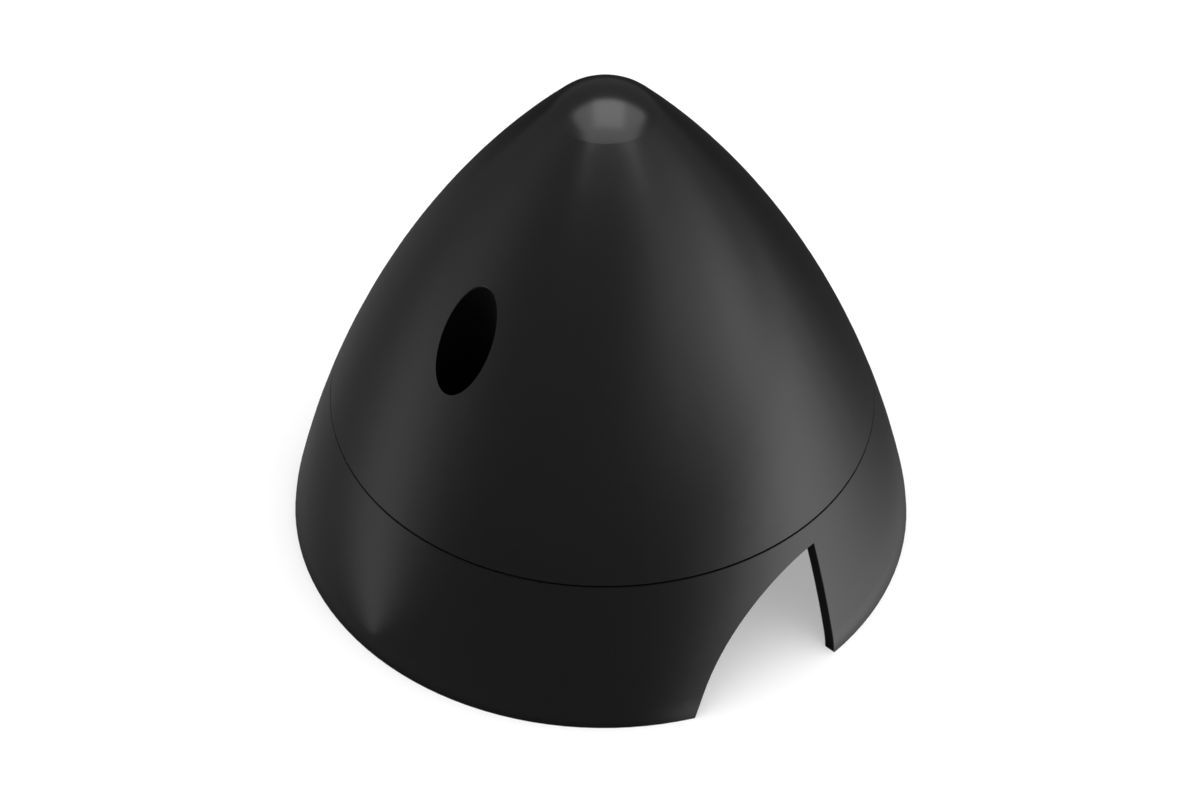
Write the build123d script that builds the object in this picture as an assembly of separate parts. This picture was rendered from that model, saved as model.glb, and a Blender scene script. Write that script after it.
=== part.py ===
"""Nose cone for a two-blade propeller of a model aircraft, moulded in one piece.

Units are millimetres. The cone's axis is Z, with the nose up, and the origin is
the centre of the flat rim. The two screw holes lie on the Y axis.
"""
from build123d import *
from math import acos, asin, cos, degrees, radians, sin
import os

# Outside shape of the skin, from the rim to the nose
base_diameter = 70.0
rim_lean = 5.65  # degrees that the skin leans inwards at the rim
rim_arc_radius = 19.0
rim_arc_height = 2.7
flank_arc_radius = 119.6
nose_radius = 7.8
wall = 1.3

# Fine line that the mould leaves round the cone
line_height = 16.7
line_width = 0.25
line_depth = 0.3

# Cut-outs for the blades: a straight side, and an elliptical arch that falls away from it
blades = 2
cutout_turn = 1.6  # degrees from the X axis to the straight side
arch_half_width = 18.8
arch_half_height = 22.6
arch_centre_drop = 8.25  # below the rim

# Hollow posts that take the fixing screws
screw_offset = 20.1  # from the cone's axis to a screw's axis
screw_head_clearance = 6.5  # diameter of the hole that the head and the driver pass
screw_clearance = 3.4  # diameter of the hole that the thread passes
post_wall = 1.3
post_foot_height = 1.5  # from the rim up to the post's foot
post_floor = 2.5  # thickness of plastic under the screw's head

base_radius = base_diameter / 2
seam_turn = 45.0  # puts the seam of the revolved faces clear of every cut
past = 1.0  # how far a cutting shape reaches beyond what it cuts


class Arc:
    """One arc of the outside shape, in radius and height, with its angles from the horizontal."""

    def __init__(self, centre, radius, start, end):
        self.centre, self.radius, self.start, self.end = centre, radius, start, end

    def point(self, angle, inset=0.0):
        r, z = self.centre
        reach = self.radius - inset
        return (r + reach * cos(radians(angle)), z + reach * sin(radians(angle)))


def arc_onward(point, radius, start, end):
    """The arc that leaves a point at the angle start, so that it carries on from the arc below."""
    r, z = point
    centre = (r - radius * cos(radians(start)), z - radius * sin(radians(start)))
    return Arc(centre, radius, start, end)


def outside_arcs():
    """Rim arc, flank arc and nose arc, each tangent to the next, with the nose centred on the axis."""
    rim_end = degrees(asin(sin(radians(rim_lean)) + rim_arc_height / rim_arc_radius))
    rim = arc_onward((base_radius, 0), rim_arc_radius, rim_lean, rim_end)
    flank = arc_onward(rim.point(rim_end), flank_arc_radius, rim_end, 90)
    nose_start = degrees(acos(-flank.centre[0] / (flank_arc_radius - nose_radius)))
    flank.end = nose_start
    nose = arc_onward(flank.point(nose_start), nose_radius, nose_start, 90)
    return rim, flank, nose


def solid_cone(inset):
    """The full cone, closed at the rim, with its outside moved inwards by the inset."""
    rim, flank, nose = outside_arcs()
    rim_start = degrees(asin(-rim.centre[1] / (rim.radius - inset)))
    angles = [(rim, rim_start, rim.end), (flank, flank.start, flank.end), (nose, nose.start, 90)]
    with BuildPart() as cone:
        with BuildSketch(Plane.XZ.rotated((0, 0, seam_turn))):
            with BuildLine():
                Line((0, 0), rim.point(rim_start, inset))
                for arc, start, end in angles:
                    CenterArc(arc.centre, arc.radius - inset, start, end - start)
                Line(nose.point(90, inset), (0, 0))
            make_face()
        revolve(axis=Axis.Z)
    return cone.part


def line_cutter():
    """A ring with a pointed inner edge, square to the flank, that cuts the moulding line."""
    flank = outside_arcs()[1]
    angle = degrees(asin((line_height - flank.centre[1]) / flank.radius))
    r, z = flank.point(angle)
    out = (cos(radians(angle)), sin(radians(angle)))
    along = (-out[1], out[0])
    spread = line_width / 2 * (line_depth + past) / line_depth

    def place(outward, sideways):
        return (r + outward * out[0] + sideways * along[0], z + outward * out[1] + sideways * along[1])

    with BuildPart() as ring:
        with BuildSketch(Plane.XZ.rotated((0, 0, seam_turn))):
            with BuildLine():
                Polyline(place(-line_depth, 0), place(past, spread), place(past, -spread), close=True)
            make_face()
        revolve(axis=Axis.Z)
    return ring.part


def cutout_cutter():
    """A quarter of an ellipse, upright with its straight side on the axis, reaching out past the skin."""
    corner = (Align.MAX, Align.MIN)
    with BuildPart() as cutter:
        with BuildSketch(Plane.YZ):
            with Locations((0, -arch_centre_drop)):
                Ellipse(arch_half_width, arch_half_height)
                Rectangle(arch_half_width, arch_half_height, align=corner, mode=Mode.INTERSECT)
        extrude(amount=base_radius + past)
    return cutter.part


def turned(shape, start, turns):
    """The shape at the start angle round the cone's axis, and once more for each further turn."""
    return [shape.rotate(Axis.Z, start + 360 / turns * turn) for turn in range(turns)]


def screw_post():
    """A solid post on the Y axis, from its foot to above the skin, before it is trimmed to it."""
    tall = outside_arcs()[2].point(90)[1]
    reach = screw_head_clearance / 2 + post_wall
    place = Pos(0, -screw_offset, post_foot_height)
    return place * Cylinder(reach, tall, align=(Align.CENTER, Align.CENTER, Align.MIN))


def screw_hole():
    """The hole for the screw's head and driver, and the smaller one below it for the thread."""
    tall = outside_arcs()[2].point(90)[1]
    head = Cylinder(screw_head_clearance / 2, tall, align=(Align.CENTER, Align.CENTER, Align.MIN))
    thread = Cylinder(screw_clearance / 2, tall, align=(Align.CENTER, Align.CENTER, Align.MIN))
    seat = Pos(0, 0, post_foot_height + post_floor) * head
    return Pos(0, -screw_offset, 0) * (seat + Pos(0, 0, post_foot_height - past) * thread)


def spinner_cone():
    """The moulded cone: skin, moulding line, blade cut-outs and the two screw posts."""
    cone = solid_cone(0) - solid_cone(wall) - line_cutter()
    for cutter in turned(cutout_cutter(), cutout_turn, blades):
        cone -= cutter
    middle_of_wall = solid_cone(wall / 2)
    for post in turned(screw_post(), 0, blades):
        cone += post & middle_of_wall
    for hole in turned(screw_hole(), 0, blades):
        cone -= hole
    return cone


def main():
    os.makedirs("parts", exist_ok=True)
    cone = spinner_cone()
    solids = cone.solids()
    size = cone.bounding_box().size
    print(f"solids {len(solids)}, volume {cone.volume:.1f}, size {size.X:.2f} {size.Y:.2f} {size.Z:.2f}")
    export_step(solids[0], "parts/spinner_cone.step")


main()
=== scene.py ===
"""Looks for the nose cone of a two-blade propeller: its moulded black plastic, and a pale studio.

Everything is in metres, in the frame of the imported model: the cone's axis is Z, its rim
stands on z = 0, and its two screw holes lie on the Y axis.
"""
from __future__ import annotations

import logging
import math
from dataclasses import dataclass, field

import bpy
from mathutils import Matrix, Vector


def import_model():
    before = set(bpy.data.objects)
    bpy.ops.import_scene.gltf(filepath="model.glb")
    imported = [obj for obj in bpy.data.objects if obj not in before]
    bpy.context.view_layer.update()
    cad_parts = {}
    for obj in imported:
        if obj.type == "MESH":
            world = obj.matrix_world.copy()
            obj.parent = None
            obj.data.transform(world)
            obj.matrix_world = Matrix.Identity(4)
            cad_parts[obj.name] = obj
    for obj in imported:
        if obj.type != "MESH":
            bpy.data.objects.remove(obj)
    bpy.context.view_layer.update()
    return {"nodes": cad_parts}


LOG = logging.getLogger("spinner")
MM = 0.001
NOISE_MIDDLE = 0.5
Colour = tuple[float, float, float]
Span = tuple[float, float]
Output = bpy.types.NodeSocket
Blendable = Output | float | Colour


def towards(azimuth: float, elevation: float) -> Vector:
    """A unit vector from the cone's axis.

    Args:
        azimuth: degrees round the axis, 0 at -Y and 90 at +X.
        elevation: degrees above the floor.

    Returns:
        The direction.
    """
    a, e = math.radians(azimuth), math.radians(elevation)
    return Vector((math.sin(a) * math.cos(e), -math.cos(a) * math.cos(e), math.sin(e)))


class Graph:
    """Builds a node tree a node at a time."""

    def __init__(self, tree: bpy.types.NodeTree) -> None:
        """Empties the tree.

        Args:
            tree: the node tree to build in.
        """
        self.tree = tree
        tree.nodes.clear()

    def add(self, kind: str, **settings: object) -> bpy.types.Node:
        """Adds a node.

        Args:
            kind: the node's Blender type.
            settings: a value, a colour or another node's output for each input, which is named
                in lower case with underscores.

        Returns:
            The new node.
        """
        node = self.tree.nodes.new(kind)
        inputs: dict[str, bpy.types.NodeSocket] = {}
        for socket in node.inputs:
            inputs.setdefault(socket.name.lower().replace(" ", "_"), socket)
        for name, value in settings.items():
            self.feed(inputs[name], value)
        return node

    def feed(self, socket: bpy.types.NodeSocket, value: object) -> None:
        """Gives an input its value.

        Args:
            socket: the input.
            value: a plain value, which is set, or another node's output, which is linked.
        """
        if isinstance(value, Output):
            self.tree.links.new(value, socket)
        else:
            socket.default_value = value

    def math(self, operation: str, *values: object) -> Output:
        """Adds a Math node.

        Args:
            operation: the node's operation.
            values: a number or another node's output for each input in turn.

        Returns:
            The node's output.
        """
        node = self.tree.nodes.new("ShaderNodeMath")
        node.operation = operation
        for socket, value in zip(node.inputs, values):
            self.feed(socket, value)
        return node.outputs[0]

    def ramp(self, value: Output, span: Span, ends: Span) -> Output:
        """A straight ramp between the values of its two ends over a span, and level past it."""
        return self.add("ShaderNodeMapRange", value=value, from_min=span[0], from_max=span[1],
                        to_min=ends[0], to_max=ends[1]).outputs[0]

    def place(self) -> bpy.types.Node:
        """A node that gives the X, Y and Z of a place on the object."""
        vector = self.add("ShaderNodeTexCoord").outputs["Object"]
        return self.add("ShaderNodeSeparateXYZ", vector=vector)

    def noise(self, place: Output, size: float, detail: float) -> Output:
        """Soft noise from 0 to 1, with patches of a size."""
        node = self.add("ShaderNodeTexNoise", vector=place, scale=1 / size, detail=detail)
        return node.outputs["Fac"]

    def length(self, across: Output, up: Output) -> Output:
        """The length of a flat vector, from its two parts."""
        squares = self.math("POWER", across, 2.0), self.math("POWER", up, 2.0)
        return self.math("SQRT", self.math("ADD", *squares))

    def fade(self, *terms: Output) -> Output:
        """Adds a soft bell.

        Args:
            terms: how far off the bell's middle a point is in each direction, in widths.

        Returns:
            1 in the middle, falling to 0 round it.
        """
        total = self.math("POWER", terms[0], 2.0)
        for term in terms[1:]:
            total = self.math("ADD", total, self.math("POWER", term, 2.0))
        return self.math("EXPONENT", self.math("MULTIPLY", total, -1.0))

    def off(self, angle: Output, middle: float, width: float) -> Output:
        """How far an angle in degrees lies off a middle, the short way round, in widths."""
        turned = self.math("WRAP", self.math("SUBTRACT", angle, middle), 180.0, -180.0)
        return self.math("DIVIDE", turned, width)

    def azimuth(self, x: Output, y: Output) -> Output:
        """The azimuth in degrees of a place in X and Y, 0 at -Y and 90 at +X."""
        return self.math("DEGREES", self.math("ARCTAN2", x, self.math("MULTIPLY", y, -1.0)))

    def blend(self, share: Output, first: Blendable, second: float | Colour) -> Output:
        """Blends two values, or two colours.

        Args:
            share: how much of the second one is used.
            first: a number, a colour or another node's output.
            second: a number or a colour.

        Returns:
            The blend.
        """
        flat = isinstance(second, float)
        node = self.tree.nodes.new("ShaderNodeMix")
        node.data_type = "FLOAT" if flat else "RGBA"
        self.feed(node.inputs[0], share)
        for end, value in zip((2, 3) if flat else (6, 7), (first, second)):
            self.feed(node.inputs[end], (*value, 1) if isinstance(value, tuple) else value)
        return node.outputs[0 if flat else 2]

    def finish(self, shader: Output, kind: str = "ShaderNodeOutputMaterial") -> None:
        """Links the last shader to a new output node.

        Args:
            shader: the shader's output.
            kind: the output node's type.
        """
        output = self.tree.nodes.new(kind)
        self.tree.links.new(shader, output.inputs["Surface"])


def new_material(name: str) -> tuple[bpy.types.Material, Graph]:
    """Makes an empty material.

    Args:
        name: the material's name.

    Returns:
        The material and the graph of its node tree.
    """
    made = bpy.data.materials.new(name)
    made.use_nodes = True
    return made, Graph(made.node_tree)


@dataclass(frozen=True)
class SkinArc:
    """One arc of the cone's outside, in radius and height, and the height up to which it runs."""

    centre: Span
    radius: float
    top: float

    def depth(self, graph: Graph, reach: Output, height: Output) -> Output:
        """How far a point lies inside the arc.

        Args:
            graph: the node tree being built.
            reach: the point's distance from the axis.
            height: its height.

        Returns:
            The depth in metres.
        """
        across = graph.math("SUBTRACT", reach, self.centre[0])
        up = graph.math("SUBTRACT", height, self.centre[1])
        return graph.math("SUBTRACT", self.radius, graph.length(across, up))


@dataclass(frozen=True)
class Skin:
    """The cone's outside: a rim arc, a flank arc and a nose arc, each tangent to the next."""

    base_radius: float = 35 * MM
    rim_lean: float = 5.65
    rim_radius: float = 19 * MM
    rim_height: float = 2.7 * MM
    flank_radius: float = 119.6 * MM
    nose_radius: float = 7.8 * MM

    def arcs(self) -> tuple[SkinArc, SkinArc, SkinArc]:
        """Works out the three arcs.

        Returns:
            The arcs, from the rim up.
        """
        lean = math.radians(self.rim_lean)
        rim_r = self.base_radius - self.rim_radius * math.cos(lean)
        rim_z = -self.rim_radius * math.sin(lean)
        rim_end = math.asin(math.sin(lean) + self.rim_height / self.rim_radius)
        inward = self.flank_radius - self.rim_radius
        flank_r = rim_r - inward * math.cos(rim_end)
        flank_z = rim_z - inward * math.sin(rim_end)
        outward = self.flank_radius - self.nose_radius
        nose_start = math.acos(-flank_r / outward)
        nose_z = flank_z + outward * math.sin(nose_start)
        nose_foot = nose_z + self.nose_radius * math.sin(nose_start)
        return (SkinArc((rim_r, rim_z), self.rim_radius, self.rim_height),
                SkinArc((flank_r, flank_z), self.flank_radius, nose_foot),
                SkinArc((0.0, nose_z), self.nose_radius, nose_z + self.nose_radius))


@dataclass(frozen=True)
class MouldedPlastic:
    """Black plastic: glossy outside, satin inside, dull cut faces, and painted shade in the screw
    wells.
    """

    colour: Colour = (0.0035, 0.0035, 0.0037)
    specular: float = 0.5
    roughness: float = 0.24
    roughness_spread: float = 0.08
    cloud_size: float = 9 * MM
    cloud_detail: float = 4.0
    ripple_size: float = 7 * MM
    ripple_detail: float = 2.0
    ripple_height: float = 0.04 * MM
    inside_colour: Colour = (0.01, 0.01, 0.0104)
    inside_roughness: float = 0.45
    inside_from: Span = (0.05 * MM, 0.15 * MM)
    # These darken the cut faces and paint shade into the screw wells: near-black colour, little
    # gloss.
    dull_and_shade_colour: Colour = (0.001, 0.001, 0.001)
    cut_roughness: float = 0.9
    dull_and_shade_gloss: Colour = (0.1, 0.1, 0.1)
    cut_to: Span = (1.196 * MM, 1.261 * MM)
    well_offset: float = 20.1 * MM
    well_reach: float = 3.4 * MM
    well_foot: float = 1.7 * MM
    skin: Skin = field(default_factory=Skin)

    def material(self) -> bpy.types.Material:
        """Builds the plastic's node tree.

        Returns:
            The material.
        """
        made, graph = new_material("black_plastic")
        place = graph.add("ShaderNodeTexCoord").outputs["Object"]
        axes = graph.add("ShaderNodeSeparateXYZ", vector=place)
        depth = self._depth(graph, axes)
        inside = graph.ramp(depth, self.inside_from, (0.0, 1.0))
        # Mask of the cut faces and the screw wells; in the wells, its dark colour and low gloss are
        # painted shade.
        dull_and_shade = graph.math("MULTIPLY", inside, self._cuts_and_shaded_wells(graph, axes, depth))
        cloud = graph.noise(place, self.cloud_size, self.cloud_detail)
        rough = graph.math("MULTIPLY_ADD", graph.math("SUBTRACT", cloud, NOISE_MIDDLE),
                           self.roughness_spread, self.roughness)
        rough = graph.blend(inside, rough, self.inside_roughness)
        colour = graph.blend(inside, self.colour, self.inside_colour)
        ripple = graph.noise(place, self.ripple_size, self.ripple_detail)
        bump = graph.add("ShaderNodeBump", height=ripple, distance=self.ripple_height, strength=1.0)
        # Near black, rough and nearly glossless under the mask: dull cut faces, and painted shade
        # in the wells.
        shader = graph.add("ShaderNodeBsdfPrincipled",
                           base_color=graph.blend(dull_and_shade, colour, self.dull_and_shade_colour),
                           roughness=graph.blend(dull_and_shade, rough, self.cut_roughness),
                           specular_tint=graph.blend(dull_and_shade, (1.0, 1.0, 1.0), self.dull_and_shade_gloss),
                           specular_ior_level=self.specular, normal=bump.outputs[0])
        graph.finish(shader.outputs[0])
        return made

    def _depth(self, graph: Graph, axes: bpy.types.Node) -> Output:
        """How far a point lies below the outside of the cone.

        Args:
            graph: the node tree being built.
            axes: the node that gives the point's X, Y and Z.

        Returns:
            The depth in metres.
        """
        height = axes.outputs[2]
        reach = graph.length(axes.outputs[0], axes.outputs[1])
        arcs = self.skin.arcs()
        depth = arcs[0].depth(graph, reach, height)
        for below, arc in zip(arcs, arcs[1:]):
            above = graph.math("GREATER_THAN", height, below.top)
            change = graph.math("SUBTRACT", arc.depth(graph, reach, height), depth)
            depth = graph.math("MULTIPLY_ADD", change, above, depth)
        return depth

    def _cuts_and_shaded_wells(self, graph: Graph, axes: bpy.types.Node, depth: Output) -> Output:
        """Tells the cut faces and the screw wells, where shade is painted, from the rest of the
        inside.

        Args:
            graph: the node tree being built.
            axes: the node that gives the point's X, Y and Z.
            depth: how far the point lies below the outside.

        Returns:
            1 on the cut faces and in the screw wells, and 0 elsewhere.
        """
        x, y, z = axes.outputs
        aside = graph.math("SUBTRACT", graph.math("ABSOLUTE", y), self.well_offset)
        # The screw wells, which get painted shade.
        shaded_well = graph.math("LESS_THAN", graph.length(x, aside), self.well_reach)
        shaded_well = graph.math("MULTIPLY", shaded_well, graph.math("GREATER_THAN", z, self.well_foot))
        return graph.math("MAXIMUM", shaded_well, graph.ramp(depth, self.cut_to, (1.0, 0.0)))


@dataclass
class NoseCone:
    """The moulded cone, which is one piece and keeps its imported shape."""

    node: str = "spinner_cone"
    finish: MouldedPlastic = field(default_factory=MouldedPlastic)

    def dress(self, nodes: dict[str, bpy.types.Object]) -> bpy.types.Object:
        """Gives the cone its plastic.

        Args:
            nodes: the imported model's objects by name.

        Returns:
            The cone.
        """
        cone = nodes[self.node]
        material = self.finish.material()
        for slot in cone.material_slots:
            slot.material = material
        return cone


@dataclass(frozen=True)
class FloorPaint:
    """A pale matt floor, which looks white to the camera and keeps the shadow."""

    colour: Colour = (0.58, 0.58, 0.58)
    glow: float = 0.375

    def material(self) -> bpy.types.Material:
        """Builds the floor's node tree, which is clear when seen from below.

        Returns:
            The material.
        """
        made, graph = new_material("pale_floor")
        path = graph.add("ShaderNodeLightPath")
        seen = graph.math("MAXIMUM", path.outputs["Is Camera Ray"],
                          graph.math("MAXIMUM", path.outputs["Is Glossy Ray"],
                                     path.outputs["Is Transmission Ray"]))
        matt = graph.add("ShaderNodeBsdfDiffuse", color=(*self.colour, 1))
        glow = graph.add("ShaderNodeEmission", strength=graph.math("MULTIPLY", seen, self.glow))
        both = graph.tree.nodes.new("ShaderNodeAddShader")
        for socket, shader in zip(both.inputs, (matt, glow)):
            graph.feed(socket, shader.outputs[0])
        clear = graph.add("ShaderNodeBsdfTransparent")
        below = graph.add("ShaderNodeNewGeometry").outputs["Backfacing"]
        sided = graph.tree.nodes.new("ShaderNodeMixShader")
        for socket, output in zip(sided.inputs, (below, both.outputs[0], clear.outputs[0])):
            graph.feed(socket, output)
        graph.finish(sided.outputs[0])
        return made


@dataclass(frozen=True)
class Gleam:
    """A soft glow on the walls, placed from the camera's side, in degrees."""

    azimuth: float
    elevation: float
    width: float
    height: float
    brightness: float

    def add(self, graph: Graph, azimuth: Output, elevation: Output, front: float) -> Output:
        """Adds the glow to the walls' node tree.

        Args:
            graph: the node tree being built.
            azimuth: the azimuth of a place on the wall.
            elevation: its elevation.
            front: the camera's azimuth, from which the glow's is counted.

        Returns:
            The glow's brightness there.
        """
        bell = graph.fade(graph.off(azimuth, front + self.azimuth, self.width),
                          graph.off(elevation, self.elevation, self.height))
        return graph.math("MULTIPLY", bell, self.brightness)


@dataclass(frozen=True)
class Beam:
    """A soft beam on the painted reflection from a point near the rim, placed from the camera's
    side.
    """

    right: float
    near: float
    direction: float
    spread: float
    brightness: float

    def add(self, graph: Graph, place: bpy.types.Node, front: float) -> Output:
        """Adds the beam to the painted reflection's node tree.

        Args:
            graph: the node tree being built.
            place: the node that gives a place's X and Y.
            front: the camera's azimuth, from which the beam's direction is counted.

        Returns:
            The beam's brightness there.
        """
        start = towards(front + 90, 0) * self.right + towards(front, 0) * self.near
        angle = graph.azimuth(graph.math("SUBTRACT", place.outputs[0], start.x),
                              graph.math("SUBTRACT", place.outputs[1], start.y))
        bell = graph.fade(graph.off(angle, front + self.direction, self.spread))
        return graph.math("MULTIPLY", bell, self.brightness)


@dataclass
class CeilingLamp:
    """A flat rectangular lamp above the cone, placed to the camera's right and towards it."""

    name: str = "lamp_ceiling"
    right: float = 0.13
    near: float = -0.25
    height: float = 1.58
    width: float = 1.2
    depth: float = 1.4
    brightness: float = 1.4

    def make(self, front: float) -> bpy.types.Object:
        """Makes the lamp, which the camera doesn't see.

        Args:
            front: the camera's azimuth.

        Returns:
            The lamp's object.
        """
        data = bpy.data.lights.new(self.name, "AREA")
        data.shape = "RECTANGLE"
        data.size, data.size_y = self.width, self.depth
        data.energy = self.brightness * math.pi * self.width * self.depth
        lamp = bpy.data.objects.new(self.name, data)
        bpy.context.scene.collection.objects.link(lamp)
        side, up = towards(front + 90, 0), Vector((0, 0, 1))
        centre = side * self.right + towards(front, 0) * self.near + up * self.height
        turned = Matrix((side, up.cross(side), up)).transposed().to_4x4()
        lamp.matrix_world = Matrix.Translation(centre) @ turned
        lamp.visible_camera = False
        return lamp


@dataclass
class CeilingPanel:
    """A bright ceiling panel, with corners placed to the camera's right and towards it."""

    name: str = "ceiling_panel"
    corners: tuple[Span, ...] = ((-0.92, 1.3), (1.52, 1.18), (-1.56, -0.71), (2.24, -1.2))
    height: float = 1.6
    brightness: float = 2.04

    def make(self, front: float) -> bpy.types.Object:
        """Makes the panel, which the camera looks through.

        Args:
            front: the camera's azimuth.

        Returns:
            The panel.
        """
        bpy.ops.object.select_all(action="DESELECT")
        bpy.ops.mesh.primitive_plane_add(size=2)
        panel = bpy.context.object
        panel.name = self.name
        for vertex, (right, near) in zip(panel.data.vertices, self.corners):
            place = towards(front + 90, 0) * right + towards(front, 0) * near
            vertex.co = (place.x, place.y, self.height)
        made, graph = new_material(self.name)
        graph.finish(graph.add("ShaderNodeEmission", strength=self.brightness).outputs[0])
        panel.data.materials.append(made)
        panel.visible_camera = False
        return panel


@dataclass
class Studio:
    """The floor, the lamps above, and the walls and the painted reflection that the cone's gloss
    shows.
    """

    front: float
    floor_radius: float = 6.0
    floor_drop: float = 0.01 * MM
    disc_sides: int = 96
    paint: FloorPaint = field(default_factory=FloorPaint)
    # The glossy-only disc over the floor is a painted reflection, brighter towards one side.
    table_lift: float = 0.02 * MM
    table_brightness: Span = (0.04, 0.17)
    table_fades: Span = (-40 * MM, 20 * MM)
    table_bright_side: float = -50.0
    # A painted shadow round the rim in that reflection, and a brighter painted reflection under the
    # cone.
    shaded: Span = (33.5 * MM, 36.5 * MM)
    under_brightness: float = 0.5
    wall_radius: float = 4.0
    wall_segments: int = 48
    wall_rings: int = 24
    wall_brightness: float = 0.2
    wall_rise: float = 0.1
    lamp: CeilingLamp = field(default_factory=CeilingLamp)
    panel: CeilingPanel = field(default_factory=CeilingPanel)
    gleams: tuple[Gleam, ...] = (
        Gleam(81, 8, 22.5, 13, 1.5),
        Gleam(53.5, 21, 27, 15, 0.8),
        Gleam(-87, 0, 24, 17, 0.42),
        Gleam(-92.5, 40, 27, 30, 0.16),
    )
    beams: tuple[Beam, ...] = (
        Beam(1.3 * MM, 28.3 * MM, 83, 29, 2.1),
        Beam(-29.2 * MM, 25.0 * MM, -92, 24, 0.6),
    )

    def build(self) -> None:
        """Makes the floor, the painted reflection, the walls, the lamp, the panel and the world."""
        self._floor()
        self._table()
        self._walls()
        self.lamp.make(self.front)
        self.panel.make(self.front)
        self._world()

    def _disc(self, name: str, radius: float, height: float) -> bpy.types.Object:
        """Lays a flat disc round the axis.

        Args:
            name: the disc's name.
            radius: its radius.
            height: its height above the rim's plane.

        Returns:
            The disc.
        """
        bpy.ops.object.select_all(action="DESELECT")
        bpy.ops.mesh.primitive_circle_add(vertices=self.disc_sides, radius=radius,
                                          fill_type="NGON", location=(0, 0, height))
        disc = bpy.context.object
        disc.name = name
        return disc

    def _floor(self) -> None:
        """Lays a round floor just under the rim."""
        floor = self._disc("floor", self.floor_radius, -self.floor_drop)
        floor.data.materials.append(self.paint.material())

    def _table(self) -> None:
        """Lays the painted reflection that only the cone's gloss shows, with a beam on each side.
        """
        table = self._disc("table", self.wall_radius, self.table_lift)
        made, graph = new_material("table")
        place = graph.place()
        ahead = towards(self.front + self.table_bright_side, 0)
        nearness = graph.math("ADD", graph.math("MULTIPLY", place.outputs[0], ahead.x),
                              graph.math("MULTIPLY", place.outputs[1], ahead.y))
        light = graph.ramp(nearness, self.table_fades, self.table_brightness)
        # Painted beams of light in the reflection.
        for beam in self.beams:
            light = graph.math("ADD", light, beam.add(graph, place, self.front))
        reach = graph.length(place.outputs[0], place.outputs[1])
        # Painted shadow round the rim.
        light = graph.math("MULTIPLY", light, graph.ramp(reach, self.shaded, (0.0, 1.0)))
        # Brighter painted reflection of the floor under the cone.
        under = graph.math("LESS_THAN", reach, self.shaded[0])
        light = graph.math("ADD", light, graph.math("MULTIPLY", under, self.under_brightness))
        graph.finish(graph.add("ShaderNodeEmission", strength=light).outputs[0])
        table.data.materials.append(made)
        table.visible_camera = table.visible_diffuse = table.visible_shadow = False
        table.visible_transmission = table.visible_volume_scatter = False

    def _walls(self) -> None:
        """Closes the studio in dim walls with soft glows, which the camera looks through."""
        bpy.ops.object.select_all(action="DESELECT")
        bpy.ops.mesh.primitive_uv_sphere_add(segments=self.wall_segments,
                                             ring_count=self.wall_rings, radius=self.wall_radius)
        walls = bpy.context.object
        walls.name = "walls"
        made, graph = new_material("walls")
        place = graph.place()
        azimuth = graph.azimuth(place.outputs[0], place.outputs[1])
        reach = graph.length(place.outputs[0], place.outputs[1])
        elevation = graph.math("DEGREES", graph.math("ARCTAN2", place.outputs[2], reach))
        share = graph.math("DIVIDE", place.outputs[2], self.wall_radius)
        light = graph.math("MULTIPLY_ADD", share, self.wall_rise, self.wall_brightness)
        for gleam in self.gleams:
            light = graph.math("ADD", light, gleam.add(graph, azimuth, elevation, self.front))
        graph.finish(graph.add("ShaderNodeEmission", strength=light).outputs[0])
        walls.data.materials.append(made)
        walls.visible_camera = False

    def _world(self) -> None:
        """Makes the plain white world that the camera sees past the floor."""
        world = bpy.data.worlds.new("white")
        bpy.context.scene.world = world
        world.use_nodes = True
        graph = Graph(world.node_tree)
        white = graph.add("ShaderNodeBackground", strength=1.0, color=(1, 1, 1, 1))
        graph.finish(white.outputs[0], "ShaderNodeOutputWorld")


@dataclass
class PhotoCamera:
    """The camera, where the photograph was taken from."""

    azimuth: float = 44.51
    elevation: float = 43.327
    roll: float = -0.659
    distance: float = 0.3325
    lens: float = 89.535
    sensor: float = 36.0
    sight: Span = (0.01, 50.0)
    aim_right: float = -0.242 * MM
    aim_height: float = 14.94 * MM

    def make(self) -> bpy.types.Object:
        """Makes the scene's camera.

        Returns:
            The camera's object.
        """
        back = towards(self.azimuth, self.elevation)
        right = towards(self.azimuth + 90, 0)
        up = back.cross(right)
        lean = math.radians(self.roll)
        side = math.cos(lean) * right - math.sin(lean) * up
        top = math.sin(lean) * right + math.cos(lean) * up
        data = bpy.data.cameras.new("camera")
        data.sensor_width = self.sensor
        data.lens = self.lens
        data.clip_start, data.clip_end = self.sight
        camera = bpy.data.objects.new("camera", data)
        bpy.context.scene.collection.objects.link(camera)
        aim = right * self.aim_right + Vector((0, 0, self.aim_height))
        turned = Matrix((side, top, back)).transposed().to_4x4()
        camera.matrix_world = Matrix.Translation(aim + back * self.distance) @ turned
        bpy.context.scene.camera = camera
        return camera


def main() -> None:
    """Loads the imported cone, dresses it, and builds the studio and the camera round it."""
    logging.basicConfig(level=logging.INFO, format="%(name)s: %(message)s")
    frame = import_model()
    cone = NoseCone().dress(frame["nodes"])
    LOG.info("%s: %d faces", cone.name, len(cone.data.polygons))
    camera = PhotoCamera()
    LOG.info("%s at %s", camera.make().name, camera.azimuth)
    Studio(front=camera.azimuth).build()
    bpy.context.scene.view_settings.view_transform = "Standard"


if __name__ == "__main__":
    main()
